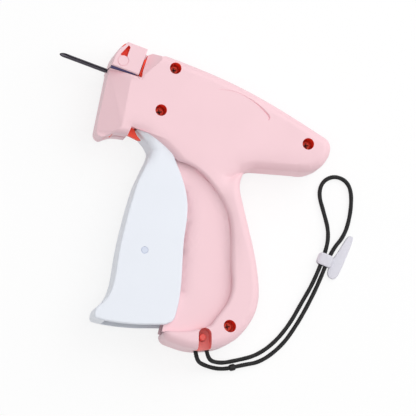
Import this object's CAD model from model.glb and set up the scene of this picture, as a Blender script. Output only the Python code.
import math

import bmesh
import bpy
import numpy as np
from mathutils import Matrix, Vector


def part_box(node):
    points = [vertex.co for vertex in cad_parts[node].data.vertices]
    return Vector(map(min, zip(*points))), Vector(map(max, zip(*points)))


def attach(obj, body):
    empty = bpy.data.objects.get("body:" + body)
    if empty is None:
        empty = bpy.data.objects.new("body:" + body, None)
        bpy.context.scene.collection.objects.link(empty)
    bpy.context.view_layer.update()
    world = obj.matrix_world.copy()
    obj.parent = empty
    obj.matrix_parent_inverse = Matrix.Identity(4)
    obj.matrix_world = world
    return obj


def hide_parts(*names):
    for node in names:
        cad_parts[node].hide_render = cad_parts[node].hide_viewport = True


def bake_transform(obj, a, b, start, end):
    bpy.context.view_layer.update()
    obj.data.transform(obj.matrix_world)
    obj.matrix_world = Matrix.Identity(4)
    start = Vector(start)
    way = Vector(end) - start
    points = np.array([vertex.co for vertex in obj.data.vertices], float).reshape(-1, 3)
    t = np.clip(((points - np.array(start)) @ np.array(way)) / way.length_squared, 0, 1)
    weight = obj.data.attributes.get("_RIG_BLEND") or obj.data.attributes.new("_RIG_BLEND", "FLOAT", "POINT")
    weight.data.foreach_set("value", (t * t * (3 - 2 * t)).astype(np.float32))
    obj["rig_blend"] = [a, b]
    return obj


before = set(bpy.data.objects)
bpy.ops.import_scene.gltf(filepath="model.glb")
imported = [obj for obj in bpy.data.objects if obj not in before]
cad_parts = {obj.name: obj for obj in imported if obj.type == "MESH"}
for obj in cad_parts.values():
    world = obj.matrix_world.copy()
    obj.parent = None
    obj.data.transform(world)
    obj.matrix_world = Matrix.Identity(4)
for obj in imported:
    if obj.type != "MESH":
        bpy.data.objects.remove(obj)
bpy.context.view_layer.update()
scene = bpy.context.scene
scene.view_settings.view_transform = "Standard"

# Lines, radii and heights are in millimetres; MM turns them into the frame's metres.
MM = 0.001
ACROSS = Vector((0.9426, 0.3338, 0.0))  # to the right, as the camera sees the tool
UP = Vector((-0.3338, 0.9426, 0.0))  # to the top
CENTRE = Vector((62.4, -41.2, 0.0)) * MM  # what the camera looks at
FACE = 12.0  # height of the casing's outer face above its middle
PANEL = 7.5  # height of the handle's side panel
TRIGGER_FACE = 9.4  # height of the trigger's outer face
HAIR = 0.01  # so far above a face, the face itself is taken in
SQUARE = np.array([(-1, -1), (1, -1), (1, 1), (-1, 1)])

# ---- camera: above the left side, leaning towards the nose and the trigger's front ----
DISTANCE = 2.0  # metres
SENSOR = 36.0
VIEW_WIDTH = 0.1818  # metres from side to side of what is seen at the tool's middle
LEAN_ACROSS, LEAN_UP, LEAN_OUT = -0.14, -0.12, 0.98
back = (ACROSS * LEAN_ACROSS + UP * LEAN_UP + Vector((0, 0, LEAN_OUT))).normalized()
right = UP.cross(back).normalized()
above = back.cross(right)
camera = bpy.data.objects.new("camera", bpy.data.cameras.new("camera"))
scene.collection.objects.link(camera)
scene.camera = camera
camera.data.sensor_width = SENSOR
camera.data.lens = SENSOR * DISTANCE / VIEW_WIDTH
camera.data.clip_start = 0.1
camera.data.clip_end = 30
turn = Matrix((right, above, back)).transposed().to_4x4()
camera.matrix_world = Matrix.Translation(CENTRE + back * DISTANCE) @ turn


# ---- materials ----
def linear(colour):
    """A display colour from 0 to 255 as linear light: ((c + 0.055) / 1.055) to the power 2.4."""
    c = np.asarray(colour, float) / 255
    return tuple(np.where(c < 0.04045, c / 12.92, ((c + 0.055) / 1.055) ** 2.4))


def finish(name, colour, roughness=0.5, **sockets):
    """A material with one principled shader, whose sockets take the given values."""
    material = bpy.data.materials.new(name)
    material.use_nodes = True
    shader = material.node_tree.nodes["Principled BSDF"]
    shader.inputs["Base Color"].default_value = (*linear(colour), 1)
    shader.inputs["Roughness"].default_value = roughness
    for socket, value in sockets.items():
        shader.inputs[socket.replace("_", " ")].default_value = value
    return material


def grain(material, scale=900, depth=0.00003, roughness=(0.4, 0.6), shade=0.0):
    """Fine moulded grain: noise over Object coordinates, as bump and as a change of gloss. With
    a shade, slow clouds of noise darken the colour by up to that share."""
    tree = material.node_tree
    shader = tree.nodes["Principled BSDF"]
    place = tree.nodes.new("ShaderNodeTexCoord")
    noise = tree.nodes.new("ShaderNodeTexNoise")
    noise.inputs["Scale"].default_value = scale
    noise.inputs["Detail"].default_value = 4
    bump = tree.nodes.new("ShaderNodeBump")
    bump.inputs["Strength"].default_value = 0.25
    bump.inputs["Distance"].default_value = depth
    gloss = tree.nodes.new("ShaderNodeMapRange")
    gloss.inputs["To Min"].default_value, gloss.inputs["To Max"].default_value = roughness
    tree.links.new(place.outputs["Object"], noise.inputs["Vector"])
    tree.links.new(noise.outputs["Fac"], bump.inputs["Height"])
    tree.links.new(noise.outputs["Fac"], gloss.inputs["Value"])
    tree.links.new(gloss.outputs["Result"], shader.inputs["Roughness"])
    tree.links.new(bump.outputs["Normal"], shader.inputs["Normal"])
    if shade:
        colour = shader.inputs["Base Color"].default_value[:]
        cloud = tree.nodes.new("ShaderNodeTexNoise")
        cloud.inputs["Scale"].default_value = 45
        cloud.inputs["Detail"].default_value = 2
        tone = tree.nodes.new("ShaderNodeValToRGB")
        dark, light = tone.color_ramp.elements
        dark.position, light.position = 0.3, 0.7
        dark.color = (*[c * (1 - shade) for c in colour[:3]], 1)
        light.color = colour
        tree.links.new(place.outputs["Object"], cloud.inputs["Vector"])
        tree.links.new(cloud.outputs["Fac"], tone.inputs["Fac"])
        tree.links.new(tone.outputs["Color"], shader.inputs["Base Color"])
    return material


pink = grain(finish("pink_casing", (247, 209, 216)), roughness=(0.42, 0.55), shade=0.03)
deep_red = grain(finish("red_recess", (255, 84, 52)))
coral = grain(finish("coral_recess", (243, 138, 134)))
ring_red = grain(finish("red_post", (240, 104, 96)))
white = grain(finish("white_trigger", (236, 240, 248)), roughness=(0.38, 0.5), shade=0.02)
navy = grain(finish("dark_base", (50, 34, 92)))
pin_white = grain(finish("pin_white", (216, 223, 239)), roughness=(0.38, 0.5), shade=0.02)
red = grain(finish("red_guide", (242, 66, 34)))
screw_red = grain(finish("shaded_screw", (226, 86, 64), 0.4, Metallic=0.45), 2000, 0.00002,
                  (0.3, 0.5))
grey = grain(finish("grey_mechanism", (190, 190, 196)), 700)
dark_steel = grain(finish("dark_needle_steel", (88, 84, 92), 0.32, Metallic=0.85), 2500, 0.00002,
                   (0.25, 0.42))
shadow_steel = grain(finish("recess_steel", (46, 22, 20), 0.6), 2000, 0.00001, (0.5, 0.7))
steel = grain(finish("steel", (186, 186, 190), 0.28, Metallic=1.0), 2000, 0.00001, (0.22, 0.36))
rubber = grain(finish("rubber", (28, 28, 30)), 500, roughness=(0.7, 0.9))
black_braid = grain(finish("black_braid", (17, 18, 20)), 6000, 0.00002, (0.5, 0.75))
clip_plastic = grain(
    finish("clip_plastic", (233, 232, 241), 0.35, Transmission_Weight=0.18, IOR=1.3), 700, 0.00001,
    (0.34, 0.46))

for names, material in (
    (("feed_wheel", "feed_pawl"), white),
    (("spring_pin",), pin_white),
    (("strap_post",), ring_red),
    (("fastener_guide",), red),
    (("slide_block", "drive_lever"), grey),
    (("needle", "needle_base"), dark_steel),
    (("wheel_axle", "pawl_pin", "pawl_spring", "push_rod", "slide_pin", "lever_pin",
      "trigger_pin", "drive_pin", "return_spring"), steel),
    (("case_screws",), screw_red),
    (("rear_bumper",), rubber),
    (("strap_bight",), black_braid),
):
    for name in names:
        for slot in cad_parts[name].material_slots:
            slot.material = material


# ---- lines and bent surfaces ----
def nearest(points, line):
    """For each point, its distance to a line of corners and how far along it lies, from 0 to 1:
    the least over the stretches of the length of p - a - t (b - a), with t held between 0 and 1.
    Also the corners' own places along the line."""
    line = np.asarray(line, float)[:, :2]
    start, step = line[:-1], np.diff(line, axis=0)
    share = np.einsum("psk,sk->ps", points[:, None, :2] - start, step) / (step ** 2).sum(1)
    share = np.clip(share, 0, 1)
    away = np.linalg.norm(points[:, None, :2] - start - share[..., None] * step, axis=2)
    best = away.argmin(axis=1)
    row = np.arange(len(points))
    run = np.concatenate(([0], np.cumsum(np.linalg.norm(step, axis=1))))
    along = (run[best] + share[row, best] * (run[1:] - run[:-1])[best]) / run[-1]
    return away[row, best], along, run / run[-1]


def moved_edges(points, edges):
    """Moves an outline's stretches: each edge is a line of (x, y, across, up) with its reach, and
    a point at distance d from it moves by those amounts times exp(-(d / reach)^2)."""
    out = points.copy()
    for line, reach in edges:
        away, along, corners = nearest(points, line)
        line = np.asarray(line, float)
        fall = np.exp(-(away / reach) ** 2)
        for column, way in ((2, ACROSS), (3, UP)):
            amount = np.interp(along, corners, line[:, column]) * fall
            out[:, :2] += amount[:, None] * np.array(way)[:2]
    return out


def lowered(points, bands):
    """Rolls a face down towards a line of (x, y, strength): within the width w of it, z falls by
    depth * strength * (1 - sqrt(1 - (1 - d/w)^2)), in proportion to the height above the band's
    foot. A negative depth raises the face."""
    out = points.copy()
    for line, width, depth, foot, top in bands:
        away, along, corners = nearest(points, line)
        strength = np.interp(along, corners, np.asarray(line, float)[:, 2])
        near = np.clip(1 - away / width, 0, 1)
        drop = depth * strength * (1 - np.sqrt(1 - near ** 2))
        share = np.clip((points[:, 2] - foot) / (top - foot), 0, 1)
        out[:, 2] -= drop * share * (points[:, 2] < top + HAIR)
    return out


def smooth_line(corners, count):
    """The quadratic spline through the middles of a line's sides, with so many points to a
    corner: (1-u)^2 a + 2 u (1-u) b + u^2 c."""
    corners = np.asarray(corners, float)
    middles = (corners[1:] + corners[:-1]) / 2
    u = np.linspace(0, 1, count, endpoint=False)[None, :, None]
    a, b, c = middles[:-1, None], corners[1:-1, None], middles[1:, None]
    curve = ((1 - u) ** 2 * a + 2 * u * (1 - u) * b + u ** 2 * c).reshape(-1, corners.shape[1])
    return np.concatenate((corners[:1], curve, middles[-1:], corners[-1:]))


def evenly(path, step):
    """Points along a path at equal steps of its length, read off by interpolation, and their
    places along it."""
    run = np.concatenate(([0], np.cumsum(np.linalg.norm(np.diff(path, axis=0), axis=1))))
    places = np.linspace(0, run[-1], max(2, int(round(run[-1] / step)) + 1))
    return np.stack([np.interp(places, run, path[:, k]) for k in range(3)], axis=1), places


# ---- meshes ----
def grid_mesh(name, points, endless=False, smooth=True):
    """A mesh from a grid of points, rows by columns, whose columns close on themselves. The rows
    end in caps, or, in an endless one, close on themselves as well."""
    rows, columns = points.shape[:2]
    index = np.arange(rows * columns).reshape(rows, columns)
    over = np.roll(index, -1, axis=1)
    quads = np.stack([index, over, np.roll(over, -1, axis=0), np.roll(index, -1, axis=0)], axis=-1)
    faces = quads[:None if endless else -1].reshape(-1, 4).tolist()
    if not endless:
        faces += [index[0, ::-1].tolist(), index[-1].tolist()]
    mesh = bpy.data.meshes.new(name)
    mesh.from_pydata(points.reshape(-1, 3).tolist(), [], faces)
    mesh.polygons.foreach_set("use_smooth", np.full(len(mesh.polygons), smooth))
    return mesh


def stacked(ring, heights):
    """A grid of points, in metres: the same ring of (x, y) at each of the heights."""
    return np.stack([np.column_stack((ring, np.full(len(ring), z))) for z in heights]) * MM


def join_meshes(name, meshes):
    """One mesh that holds all the given ones."""
    shape = bmesh.new()
    for mesh in meshes:
        shape.from_mesh(mesh)
    joined = bpy.data.meshes.new(name)
    shape.to_mesh(joined)
    shape.free()
    return joined


def placed(name, data, material=None):
    """An object in the scene for a mesh, a curve or a light, and its material if it gets one."""
    item = bpy.data.objects.new(name, data)
    scene.collection.objects.link(item)
    if material:
        data.materials.append(material)
    return item


def side_frames(path):
    """At each point of a path, the level direction across it and the direction above both."""
    way = np.gradient(path, axis=0)
    way /= np.linalg.norm(way, axis=1)[:, None]
    across = np.cross(way, (0, 0, 1.0))
    across /= np.linalg.norm(across, axis=1)[:, None]
    return across, np.cross(across, way)


def tube(name, path, radius, sides):
    """A tube along a path: each ring is path + radius * (cos a * across - sin a * over)."""
    across, over = side_frames(path)
    angle = np.linspace(0, 2 * math.pi, sides, endpoint=False)[None, :, None]
    ring = across[:, None] * np.cos(angle) - over[:, None] * np.sin(angle)
    radius = np.broadcast_to(np.asarray(radius, float), (len(path),))
    return grid_mesh(name, path[:, None] + ring * radius[:, None, None])


def ribbon(name, middle, out, wide, thick, sides=6):
    """A flat strand along a path: each ring is middle + thick cos a * out + wide sin a * side,
    where out points away from the cord's line and side is across the strand."""
    side = np.cross(np.gradient(middle, axis=0), out)
    side /= np.linalg.norm(side, axis=1)[:, None]
    angle = np.linspace(0, 2 * math.pi, sides, endpoint=False)[None, :, None]
    ring = out[:, None] * (thick * np.cos(angle)) + side[:, None] * (wide * np.sin(angle))
    return grid_mesh(name, middle[:, None] + ring)


def prism(name, corners, bottom, top, material, bevel=0.15):
    """A flat piece of the casing: the outline's corners from one height to another, bevelled."""
    mesh = grid_mesh(name, stacked(np.asarray(corners, float), (bottom, top)), smooth=False)
    piece = placed(name, mesh, material)
    edge = piece.modifiers.new("edge", "BEVEL")
    edge.width = bevel * MM
    edge.segments = 2
    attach(piece, "casing")


# ---- smooth copies of CAD nodes ----
CAD_LAYERS = ("custom_normal", "sharp_face", "sharp_edge")  # the CAD mesh's own shading
WELD, SLIVER, SNAP = 2e-6, 1e-7, 1e-6  # metres: points that join, edges that go, cuts that snap
LEVEL, NEARLY_LEVEL = 0.99, 0.9  # least upward part of such a face's normal
SHARP = math.radians(32)  # edges that turn by more stay sharp
BLADE_ABOVE = 0.4  # how far the groove's cutter stands out of the face


def blade(line, top):
    """A tapered V-shaped cutter under a level face: at each (x, y, half width, depth) of the line
    its section is the triangle across (-w, 0), (w, 0) and (0, -depth), and above it the same
    width goes on until it stands out of the face."""
    line = smooth_line(line, 8)
    way = np.gradient(line[:, :2], axis=0)
    way /= np.linalg.norm(way, axis=1)[:, None]
    aside = np.stack((-way[:, 1], way[:, 0]), axis=1) * line[:, 2:3]
    left, right = line[:, :2] + aside, line[:, :2] - aside
    high, rim = np.full(len(line), top + BLADE_ABOVE), np.full(len(line), top + HAIR)
    rows = np.stack((np.column_stack((right, high)), np.column_stack((right, rim)),
                     np.column_stack((line[:, :2], top - line[:, 3])),
                     np.column_stack((left, rim)), np.column_stack((left, high))), axis=1)
    return grid_mesh("groove_cutter", rows * MM, smooth=False)


def closed(mesh):
    """Puts back the triangles that a cut dropped: each takes its neighbours' direction and
    material."""
    shape = bmesh.new()
    shape.from_mesh(mesh)
    gaps = [e for e in shape.edges if e.is_boundary]
    for face in bmesh.ops.holes_fill(shape, edges=gaps, sides=3)["faces"]:
        if any(loop.link_loop_radial_next.vert == loop.vert for loop in face.loops):
            face.normal_flip()
        beside = [f for e in face.edges for f in e.link_faces if f is not face]
        face.material_index = max(f.material_index for f in beside)
        face.smooth = True
    shape.to_mesh(mesh)
    shape.free()


def merged(mesh, slices):
    """Joins a CAD mesh's faces at their shared points and cuts its level upper faces by the
    slices, each an axis, a first place, a last place and a step, so that bands can bend them."""
    shape = bmesh.new()
    shape.from_mesh(mesh)
    bmesh.ops.remove_doubles(shape, verts=shape.verts, dist=WELD)
    bmesh.ops.dissolve_degenerate(shape, edges=shape.edges, dist=SLIVER)
    for axis, first, last, step in slices:
        way = Vector((1, 0, 0)) if axis == "x" else Vector((0, 1, 0))
        for place in np.arange(first, last, step) * MM:
            faces = [f for f in shape.faces if f.normal.z > LEVEL]
            edges = (e for f in faces for e in f.edges)
            verts = (v for f in faces for v in f.verts)
            bmesh.ops.bisect_plane(shape, geom=list({*faces, *edges, *verts}), dist=SNAP,
                                   plane_co=way * float(place), plane_no=way)
    bmesh.ops.triangulate(shape, faces=[f for f in shape.faces if len(f.verts) > 4])
    shape.to_mesh(mesh)
    shape.free()
    for layer in [a for a in mesh.attributes if a.name in CAD_LAYERS]:
        mesh.attributes.remove(layer)


def painted(mesh, materials, masks):
    """Gives a mesh its materials: the first everywhere, and each next one on the faces that the
    mask of the same place in the list picks by their centres and normals."""
    mesh.materials.clear()
    for material in materials:
        mesh.materials.append(material)
    centres, normals = np.empty((2, 3 * len(mesh.polygons)))
    mesh.polygons.foreach_get("center", centres)
    mesh.polygons.foreach_get("normal", normals)
    chosen = np.zeros(len(mesh.polygons), np.int32)
    for number, mask in enumerate(masks, 1):
        chosen[mask(centres.reshape(-1, 3) / MM, normals.reshape(-1, 3))] = number
    mesh.polygons.foreach_set("material_index", chosen)


def carved(piece, line):
    """Cuts a groove along a line into a piece's outer face."""
    cutter = placed("groove_cutter", blade(line, FACE))
    cut = piece.modifiers.new("groove", "BOOLEAN")
    cut.object = cutter
    cut.solver = "EXACT"
    cut.use_hole_tolerant = True
    bpy.context.view_layer.update()
    result = piece.evaluated_get(bpy.context.evaluated_depsgraph_get())
    mesh = bpy.data.meshes.new_from_object(result)
    piece.modifiers.clear()
    piece.data = mesh
    mesh.name = piece.name
    bpy.data.objects.remove(cutter)
    closed(mesh)


def dressed(node, name, body, materials, masks=(), edges=(), bands=(), slices=(),
            groove=()):
    """A merged, smooth copy of a CAD node's mesh that stands for it, with its own materials,
    moved edges, rolled bands and groove. Without a body the caller blends it."""
    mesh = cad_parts[node].data.copy()
    mesh.name = name
    merged(mesh, slices)
    painted(mesh, materials, masks)
    mesh.polygons.foreach_set("use_smooth", np.ones(len(mesh.polygons), bool))
    mesh.set_sharp_from_angle(angle=SHARP)
    points = np.empty(3 * len(mesh.vertices))
    mesh.vertices.foreach_get("co", points)
    points = lowered(moved_edges(points.reshape(-1, 3) / MM, edges), bands) * MM
    mesh.vertices.foreach_set("co", points.ravel())
    mesh.update()
    piece = placed(name, mesh)
    if groove:
        carved(piece, groove)
    weigh = piece.modifiers.new("even_normals", "WEIGHTED_NORMAL")
    weigh.keep_sharp = True
    if body:
        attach(piece, body)
    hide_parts(node)
    return piece


# ---- which faces of the shells lie in a recess ----
SCREWS = [(27.5, 9.7), (27.7, -9.9), (93.3, -1.1), (87.2, -88.2)]
SCREW_WELL = 2.7  # radius that takes in a well's wall
WELL_HEIGHTS = (0, 11.6)
SLOT_X, SLOT_Y = (13.2, 14.9), (0.9, 12)  # rear side of the fastener slot
NOTCH_X, NOTCH_Y = (18, 25), (-27, -20.5)  # notch in front of the trigger
WINDOW = ((2.4, 6.0), (6.7, 12.1), (7.9, 11.9))  # window in the nose cap, along x, y and z
FORWARD, UPWARD, DOWNWARD = -0.7, 0.3, -0.9  # limits of a normal's x, z and y
POST = np.array((78.4, -96.4))  # middle of the strap's post
RECESS_BEARING = math.radians(-70.5)  # of the strap's recess, down from the post
DOWN = np.array((math.cos(RECESS_BEARING), math.sin(RECESS_BEARING)))
SIDE = np.array((-DOWN[1], DOWN[0]))
RECESS_ALONG = (-3.9, 12)  # the recess's reach down from the post
RECESS_HALF, RECESS_SHIFT = 2.9, 0.4  # its half width, and its middle beside the post's
RECESS_HEIGHTS = (-1.3, 11.2)
PANEL_LEVEL = 7.2  # level faces above this belong to the panel and the outer face


def between(values, limits):
    """True where a value lies between two limits."""
    return (values > limits[0]) & (values < limits[1])


def in_wells(centres, normals):
    """Faces in the screw wells, those of the fastener slot's rear side that look towards the
    nose, and those in the notch that look neither up nor down the handle."""
    x, y, z = centres.T
    away = np.min([np.hypot(x - screw_x, y - screw_y) for screw_x, screw_y in SCREWS], axis=0)
    wells = (away < SCREW_WELL) & between(z, WELL_HEIGHTS)
    slot_side = between(x, SLOT_X) & between(y, SLOT_Y) & (normals[:, 0] < FORWARD)
    notch = between(x, NOTCH_X) & between(y, NOTCH_Y)
    notch &= (normals[:, 2] < UPWARD) & (normals[:, 1] > DOWNWARD)
    return wells | slot_side | notch


def in_strap_recess(centres, normals):
    """Faces of the strap's recess: within its half width of the line down from the post."""
    x, y, z = centres[:, 0] - POST[0], centres[:, 1] - POST[1], centres[:, 2]
    along = x * DOWN[0] + y * DOWN[1]
    aside = x * SIDE[0] + y * SIDE[1] - RECESS_SHIFT
    level = (normals[:, 2] > NEARLY_LEVEL) & (z > PANEL_LEVEL)
    inside = between(along, RECESS_ALONG) & (np.abs(aside) < RECESS_HALF)
    return inside & between(z, RECESS_HEIGHTS) & ~level


def in_window(centres, normals):
    """Faces of the window in the nose cap: its three walls and its floor."""
    x, y, z = centres.T
    return between(x, WINDOW[0]) & between(y, WINDOW[1]) & between(z, WINDOW[2])


# ---- outlines that move, as (x, y, across, up) ----
# BELLY is the tail's underside, SPINE the handle's back, CHIN the lower edge of the nose, RIM
# the rear edge of the handle's panel, FRONT the trigger's front and HEEL its lower end.
BELLY = [(66.0, -27.0, 0, 0.2), (70.0, -22.8, 0, 0.9), (75.7, -20.0, 0, 1.3),
         (84.0, -17.4, 0, 1.35), (93.6, -14.8, 0, 1.3), (98.0, -12.2, 0.3, 0.4),
         (101.5, -8.0, 0.5, -0.3), (103.4, -4.0, 0.2, 0)]
SPINE = [(73.0, -38.0, 0.2, 0), (78.5, -46.0, 0.5, 0), (85.0, -60.0, 0.7, 0),
         (88.5, -72.0, 0.3, 0), (91.5, -84.0, 0.3, -0.1), (90.5, -92.0, 0.5, -0.7),
         (86.0, -98.0, 0.3, -0.8), (80.5, -101.5, 0, -0.4)]
CHIN = [(4.5, -27.5, 0, 0.3), (8.0, -28.0, 0, 0.9), (12.7, -27.1, 0, 1.1), (17.5, -25.4, 0, 0.6)]
RIM = [(71.1, -42.9, 0, 0), (76.1, -52.3, -0.7, 0), (79.4, -60.2, -1.3, 0),
       (81.5, -66.0, -1.3, 0), (82.8, -71.0, -0.8, 0), (83.1, -79.4, 0, 0)]
FRONT = [(20.6, -19.8, 0.4, 0), (21.6, -22.6, 1.1, 0), (24.6, -25.2, 2.4, 0),
         (27.1, -28.0, 2.7, 0), (28.3, -31.6, 1.9, 0), (28.4, -35.4, 1.2, 0),
         (28.0, -42.9, 0.9, 0), (27.9, -50.5, 1.2, 0), (28.7, -61.8, 1.2, 0),
         (30.0, -73.1, 1.2, 0), (32.0, -84.3, 1.2, 0), (32.6, -91.8, 1.2, 0),
         (31.6, -97.5, 0.9, 0), (28.5, -102.2, 1.5, 0.3)]
HEEL = [(28.7, -104.3, 0.6, 0.3), (34.1, -105.4, 0, 0.6), (45.3, -103.3, 0, 0.9),
        (56.1, -99.8, 0, 0.9), (61.5, -97.2, 0, 0.5)]

# ---- lines towards which a face rolls down, as (x, y, strength) ----
# UNDERSIDE runs along the tail's lower edge, BESIDE along the trigger, GROOVE round the
# handle's panel, BROW above the trigger, JAW under the nose and TIP round the trigger's top.
UNDERSIDE = [(66.0, -27.0, 0.6), (70.0, -22.8, 1.0), (75.7, -20.0, 1.0), (84.0, -17.4, 1.0),
             (93.6, -14.8, 0.9), (98.5, -11.8, 0.4)]
BESIDE = [(62.4, -80.9, 0.8), (58.9, -68.8, 1), (56.4, -59.3, 1), (54.8, -51.6, 1),
          (52.6, -44.1, 0.8), (49.5, -38.1, 0.5)]
GROOVE = [(48.0, -27.9, 0), (53.0, -29.6, 0.1), (57.5, -31.6, 0.4), (65.5, -36.6, 1),
          (71.1, -42.9, 1), (75.4, -52.5, 1), (78.2, -60.6, 0.85), (80.3, -66.4, 0.45),
          (82.0, -71.3, 0.2), (83.1, -79.4, 0.05), (78.0, -90.3, 0)]
BROW = [(17.8, -25.2, 0.5), (18.2, -21.2, 1), (24.5, -21.0, 1), (33.3, -23.7, 1),
        (41.6, -27.3, 0.8), (48.0, -27.9, 0.4)]
JAW = [(2.5, -25.5, 0.5), (4.5, -27.5, 1), (8.0, -28.0, 1), (12.7, -27.1, 1), (17.8, -25.2, 1)]
TIP = [(25.0, -14.8, 0.8), (20.6, -19.8, 1), (22.8, -22.6, 1), (27.0, -24.6, 1),
       (29.9, -27.2, 0.8), (30.2, -31.2, 0.5), (29.5, -35.4, 0.2), (29.0, -42.9, 0)]

# ---- the crease on the tail, as (x, y, half width, depth) ----
CREASE = [(48.3, 7.75, 0.12, 0.1), (54.6, 9.3, 0.2, 0.25), (59.4, 9.2, 0.26, 0.35),
          (65.0, 8.0, 0.32, 0.5), (68.9, 6.5, 0.4, 0.65), (72.1, 4.9, 0.5, 0.8),
          (73.4, 3.9, 0.55, 0.8), (73.4, 2.6, 0.3, 0.4)]

# ---- casing, nose and trigger: edges are (line, reach), bands (line, width, depth, foot, top)
# and slices (axis, first, last, step) ----
shell_edges = [(BELLY, 5.0), (SPINE, 4.0), (CHIN, 3.0)]
dressed("left_housing", "left_shell", "casing", [pink, deep_red, coral],
        [in_wells, in_strap_recess], edges=[*shell_edges, (RIM, 3.0)],
        bands=[(UNDERSIDE, 11.0, 4.6, 1.0, FACE), (BESIDE, 7.0, 2.8, 4.0, PANEL),
               (GROOVE, 4.0, -1.6, 5.0, PANEL), (GROOVE, 6.0, 2.4, PANEL, FACE),
               (BROW, 6.0, 1.8, 2.0, FACE), (JAW, 7.5, 2.4, 1.0, FACE)],
        slices=[("x", 14.5, 104.0, 1.5), ("y", -84.0, -2.0, 1.5)], groove=CREASE)
dressed("right_housing", "right_shell", "casing", [pink, coral], [in_strap_recess],
        edges=shell_edges)
dressed("nose_cap", "nose_block", "casing", [pink, deep_red], [in_window])
dressed("trigger", "squeeze_trigger", "squeeze", [white],
        edges=[(FRONT, 3.6), (HEEL, 3.0)], bands=[(TIP, 4.5, 3.2, 2.0, TRIGGER_FACE)],
        slices=[("x", 20.0, 40.0, 1.2), ("y", -48.0, -15.0, 1.5)])

# ---- springs: their free ends follow what they bear on ----
wound = dressed("return_spring", "trigger_spring", None, [steel])
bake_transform(wound, "casing", "squeeze", (0.0505, -0.0615, 0.0), (0.0430, -0.0708, 0.0))
leaf = dressed("pawl_spring", "leaf_spring", None, [steel])
leaf_low, leaf_high = (Vector(corner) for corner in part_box("pawl_spring"))
leaf_middle = (leaf_low + leaf_high) / 2
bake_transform(leaf, "casing", "pawl", (leaf_middle.x, leaf_middle.y, leaf_low.z),
         (leaf_middle.x, leaf_middle.y, leaf_high.z))

# ---- small walls that close or colour a gap of the casing ----
prism("seam_strip", [(47.8, -29.2), (53.0, -31.0), (58.0, -33.0), (61.5, -34.6), (62.0, -33.4),
                     (58.8, -30.6), (52.4, -27.4), (48.0, -26.9)],
      bottom=6.3, top=7.45, material=pink, bevel=0.05)
prism("exit_web", [(17.4, -24.3), (23.0, -24.9), (24.3, -24.6), (21.9, -23.2), (20.4, -21.6),
                   (19.6, -20.4), (17.9, -20.4)],
      bottom=3.0, top=6.2, material=red)
prism("slit_wedge", [(0.8, 0.0), (11.8, 0.74), (11.8, 1.12), (0.8, 1.12)],
      bottom=2.8, top=11.3, material=navy, bevel=0.05)
prism("slot_wall", [(13.75, 1.3), (14.5, 1.3), (14.5, 9.3), (13.75, 9.3)],
      bottom=-6.0, top=8.8, material=red)
prism("channel_lip", [(7.8, -27.6), (11.6, -26.6), (11.6, -25.6), (7.8, -25.6)],
      bottom=-4.0, top=7.5, material=red, bevel=0.05)

# ---- wrist strap: one smooth line through the corners of its route ----
BEND = 2.45  # half the distance between the two exits
exit_a = POST - SIDE * BEND
exit_b = POST + SIDE * BEND
strap_route = [
    (*exit_a, 0), (79.2, -105.9, -0.5), (85.6, -105.9, -8.0),
    (93.1, -104.5, -10.5), (100.6, -99.6, -10.5), (108.2, -95.2, -11.05), (114.5, -85.2, -11.05),
    (117.4, -75.0, -11.05), (119.3, -64.5, -10.75), (120.5, -53.8, -10.0), (121.15, -38.1, -10.0),
    (124.5, -29.8, -10.75), (123.9, -19.8, -11.05), (121.1, -10.3, -11.05), (117.0, -6.3, -11.05),
    (111.3, -6.3, -11.05), (107.3, -10.3, -11.05), (107.5, -16.4, -11.05), (112.6, -23.5, -11.05),
    (117.2, -30.4, -10.75), (118.9, -38.1, -10.0), (118.3, -53.8, -10.0), (116.3, -64.6, -10.75),
    (114.5, -75.2, -11.05), (110.9, -85.2, -11.05), (105.2, -93.4, -11.05), (97.4, -98.6, -11.05),
    (90.6, -102.8, -7.6), (83.6, -103.8, -0.6), (*exit_b, 0),
]
line = bpy.data.curves.new("strap_line", "CURVE")
line.dimensions = "3D"
line.resolution_u = 24
spline = line.splines.new("NURBS")
spline.points.add(len(strap_route) - 1)
controls = np.array([[*np.array(corner) * MM, 1.0] for corner in strap_route])
spline.points.foreach_set("co", controls.ravel())
spline.order_u = 3
spline.use_endpoint_u = True
line_object = placed("strap_line", line)
traced = bpy.data.meshes.new_from_object(line_object)
strap_path = np.empty(3 * len(traced.vertices))
traced.vertices.foreach_get("co", strap_path)
strap_path = strap_path.reshape(-1, 3)
bpy.data.objects.remove(line_object)

CORD_RADIUS = 0.95 * MM
PITCH = 3.4 * MM  # length of cord in which a strand goes once round
STRANDS = 8
STRAND_WIDE, STRAND_THICK = 0.3 * MM, 0.14 * MM  # half a strand's width and thickness
WEAVE = 0.06 * MM  # how far a strand goes out and in
CORE_RADIUS, CORE_SIDES = CORD_RADIUS - 0.17 * MM, 16
BRAID_STEP, PATH_STEP = 0.4 * MM, 1 * MM  # between the braid's rings, and the cord's points


def braided(name, path):
    """A tubular braid: half the strands wind each way at angle 2 pi s / pitch, and each goes out
    and in with the cosine of the strands it crosses, round a plain core."""
    points, run = evenly(path, BRAID_STEP)
    across, over = side_frames(points)
    meshes = [tube(name + "_core", points, CORE_RADIUS, CORE_SIDES)]
    half = STRANDS // 2
    for number in range(STRANDS):
        hand = 1 if number < half else -1
        angle = hand * 2 * math.pi * run / PITCH + 2 * math.pi * (number % half) / half
        wave = np.cos(half * angle + (0 if hand > 0 else math.pi))
        out = across * np.cos(angle)[:, None] + over * np.sin(angle)[:, None]
        middle = points + out * (CORD_RADIUS - STRAND_THICK + WEAVE * wave)[:, None]
        meshes.append(ribbon(name + "_strand", middle, out, STRAND_WIDE, STRAND_THICK))
    return join_meshes(name, meshes)


strap = placed("wrist_strap", braided("wrist_strap", strap_path), black_braid)
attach(strap, "casing")
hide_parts("strap_cord")

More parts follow.
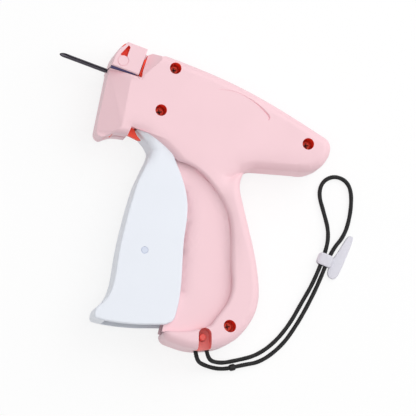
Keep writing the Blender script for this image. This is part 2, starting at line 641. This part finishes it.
# ---- crimped bead between two corners of the strap's route: for s from -0.5 to 0.5 along it,
# its radius is r sqrt(1 - |2 s|^6) (1 - crimp cos^2(6 pi s)), with at least a quarter under the
# root ----
BEAD_LENGTH, BEAD_RADIUS, CRIMP = 3.0, 1.5, 0.06
BEAD_RINGS, BEAD_SIDES = 25, 24
bead_start, bead_end = np.array(strap_route[3]), np.array(strap_route[4])
bead_way = (bead_end - bead_start) / np.linalg.norm(bead_end - bead_start)
bead_run = np.linspace(-0.5, 0.5, BEAD_RINGS)
bead_path = (bead_start + bead_end) / 2 + bead_run[:, None] * BEAD_LENGTH * bead_way
rounding = np.sqrt(np.clip(1 - np.abs(2 * bead_run) ** 6, 0.25, 1))
crimps = 1 - CRIMP * np.cos(bead_run * 6 * math.pi) ** 2
bead_radius = BEAD_RADIUS * rounding * crimps
bead_mesh = tube("strap_bead", bead_path * MM, bead_radius * MM, BEAD_SIDES)
bead = placed("strap_bead", bead_mesh, black_braid)
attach(bead, "casing")
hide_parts("strap_ferrule")

# ---- cord clip: a sleeve round both strands, with a paddle ----
CLIP_PLACE = np.array((119.8, -43.2, -10.0))
CLIP_WAY = np.array(strap_route[10]) - np.array(strap_route[9])  # the strap's straight run
CLIP_WAY /= np.linalg.norm(CLIP_WAY)
SLEEVE_WIDE, SLEEVE_HIGH, SLEEVE_LENGTH, SLEEVE_WALL = 7.2, 4.0, 5.4, 0.8
PADDLE_BOTTOM, PADDLE_TOP, PADDLE_EDGE = -FACE, -10.3, 0.5
PADDLE = [(122.9, -41.6), (122.3, -45.4), (122.9, -49.4), (126.2, -50.2), (127.8, -47.8),
          (128.4, -39.0), (128.9, -29.3), (127.4, -28.9), (125.8, -29.5), (124.0, -38.0)]


def softened(values, power):
    """A cosine or sine squared off: its sign times its size to the given power."""
    return np.sign(values) * np.abs(values) ** power


def sleeve(name, place, way, wide, high, length, wall):
    """A rounded ring round a line. Its middle line is place + a c(u) level + b s(u) upright, with
    c and s the cosine and sine to the power 0.6; outwards is the same sum without a and b, with
    the power 1.2, made 1 long. Its section is wall/2 c(v) outwards and length/2 s(v) along, with
    the power 0.7, and the length is less by 0.22 |cos u|^3 of it at the sides."""
    u = np.linspace(0, 2 * math.pi, 64, endpoint=False)
    v = np.linspace(0, 2 * math.pi, 20, endpoint=False)
    level, upright = np.cross(way, (0, 0, 1.0)), np.array((0, 0, 1.0))
    c, s = softened(np.cos(u), 0.6)[:, None], softened(np.sin(u), 0.6)[:, None]
    middle = place + (wide - wall) / 2 * c * level + (high - wall) / 2 * s * upright
    out = softened(np.cos(u), 1.2)[:, None] * level + softened(np.sin(u), 1.2)[:, None] * upright
    out /= np.linalg.norm(out, axis=1)[:, None]
    reach = length / 2 * (1 - 0.22 * np.abs(np.cos(u)) ** 3)
    ring = (middle[:, None] + out[:, None] * (wall / 2 * softened(np.cos(v), 0.7))[None, :, None]
            + way * (reach[:, None] * softened(np.sin(v), 0.7))[..., None])
    return grid_mesh(name, ring * MM, endless=True)


def pebble(name, corners, bottom, top, edge):
    """A flat piece with round corners and a rolled rim: each level is the outline drawn in by
    edge (1 - sin a), at the height edge (1 - cos a) from the nearer face."""
    ring = smooth_line([*corners, *corners[:2]], 6)[1:-2]
    way = np.roll(ring, -1, axis=0) - np.roll(ring, 1, axis=0)
    inward = np.stack((-way[:, 1], way[:, 0]), axis=1) / np.linalg.norm(way, axis=1)[:, None]
    angle = np.linspace(0, math.pi / 2, 5)
    inset, rise = edge * (1 - np.sin(angle)), edge * (1 - np.cos(angle))
    inset = np.concatenate((inset, inset[::-1]))
    height = np.concatenate((bottom + rise, top - rise[::-1]))
    rows = np.stack([np.column_stack((ring + inward * drawn, np.full(len(ring), z)))
                     for drawn, z in zip(inset, height)])
    return grid_mesh(name, rows * MM)


clip_parts = [
    sleeve("clip_sleeve", CLIP_PLACE, CLIP_WAY, SLEEVE_WIDE, SLEEVE_HIGH, SLEEVE_LENGTH,
           SLEEVE_WALL),
    pebble("clip_paddle", PADDLE, PADDLE_BOTTOM, PADDLE_TOP, PADDLE_EDGE),
]
clip = placed("cord_clip", join_meshes("cord_clip", clip_parts), clip_plastic)
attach(clip, "clip")
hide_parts("strap_slider")

# ---- cross recesses of the case screws: dark bars that stand a hair above the heads ----
BAR_HALF_LENGTH, BAR_HALF_WIDTH = 1.3, 0.2
BAR_SINK, BAR_PROUD = 0.4, 0.03
CROSS_TURN = 35  # degrees from the needle's axis to the first bar
screw_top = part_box("case_screws")[1][2] / MM
bars = []
for screw in SCREWS:
    for bearing in (math.radians(CROSS_TURN), math.radians(CROSS_TURN + 90)):
        way = np.array((math.cos(bearing), math.sin(bearing)))
        corners = SQUARE * (BAR_HALF_LENGTH, BAR_HALF_WIDTH)
        ring = screw + corners @ np.array((way, (-way[1], way[0])))
        heights = (screw_top - BAR_SINK, screw_top + BAR_PROUD)
        bars.append(grid_mesh("recess_bar", stacked(ring, heights), smooth=False))
recess = placed("screw_recesses", join_meshes("screw_recesses", bars), shadow_steel)
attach(recess, "casing")

# ---- floor: pale paper, part of which shows as plain white to the camera and to reflections ----
FLOOR_HALF, FLOOR_GAP = 3000, 0.1  # half its side, and how far it lies under the casing
BRIGHTEN = 0.8  # the share of plain white


def combined(tree, operation, first, second):
    """The output of a math node that takes a socket, and a socket or a number."""
    node = tree.nodes.new("ShaderNodeMath")
    node.operation = operation
    tree.links.new(first, node.inputs[0])
    if isinstance(second, float):
        node.inputs[1].default_value = second
    else:
        tree.links.new(second, node.inputs[1])
    return node.outputs["Value"]


floor_mesh = bpy.data.meshes.new("floor")
floor_corners = np.column_stack((SQUARE * FLOOR_HALF, np.full(4, -FACE - FLOOR_GAP))) * MM
floor_mesh.from_pydata(floor_corners.tolist(), [], [(0, 1, 2, 3)])
paper = finish("white_paper", (253, 253, 253), 0.9)
floor = placed("floor", floor_mesh, paper)
tree = paper.node_tree
rays = tree.nodes.new("ShaderNodeLightPath")
seen = combined(tree, "MAXIMUM", rays.outputs["Is Camera Ray"], rays.outputs["Is Glossy Ray"])
seen = combined(tree, "MAXIMUM", seen, rays.outputs["Is Transmission Ray"])
glow = tree.nodes.new("ShaderNodeEmission")
glow.inputs["Color"].default_value = (1, 1, 1, 1)
glow.inputs["Strength"].default_value = 1
mixed = tree.nodes.new("ShaderNodeMixShader")
tree.links.new(combined(tree, "MULTIPLY", seen, BRIGHTEN), mixed.inputs["Fac"])
tree.links.new(tree.nodes["Principled BSDF"].outputs["BSDF"], mixed.inputs[1])
tree.links.new(glow.outputs["Emission"], mixed.inputs[2])
tree.links.new(mixed.outputs["Shader"], tree.nodes["Material Output"].inputs["Surface"])

# ---- light: a white world, a large soft key from the upper right and one beside the camera ----
WORLD_STRENGTH = 0.45
world = bpy.data.worlds.new("studio")
scene.world = world
world.use_nodes = True
sky = world.node_tree.nodes["Background"]
sky.inputs["Color"].default_value = (1, 1, 1, 1)
sky.inputs["Strength"].default_value = WORLD_STRENGTH


def lamp(name, place, size, watts):
    """A square soft light at a place, facing the middle of the tool."""
    data = bpy.data.lights.new(name, "AREA")
    data.size = size
    data.energy = watts
    item = placed(name, data)
    item.location = place
    item.rotation_mode = "QUATERNION"
    item.rotation_quaternion = (place - CENTRE).to_track_quat("Z", "Y")


key_place = CENTRE + ACROSS * 0.66 + UP * 0.42 + Vector((0, 0, 0.85))
lamp("key_light", key_place, size=1.2, watts=8.2)
lamp("top_light", CENTRE + back * 1.2, size=0.7, watts=3.1)
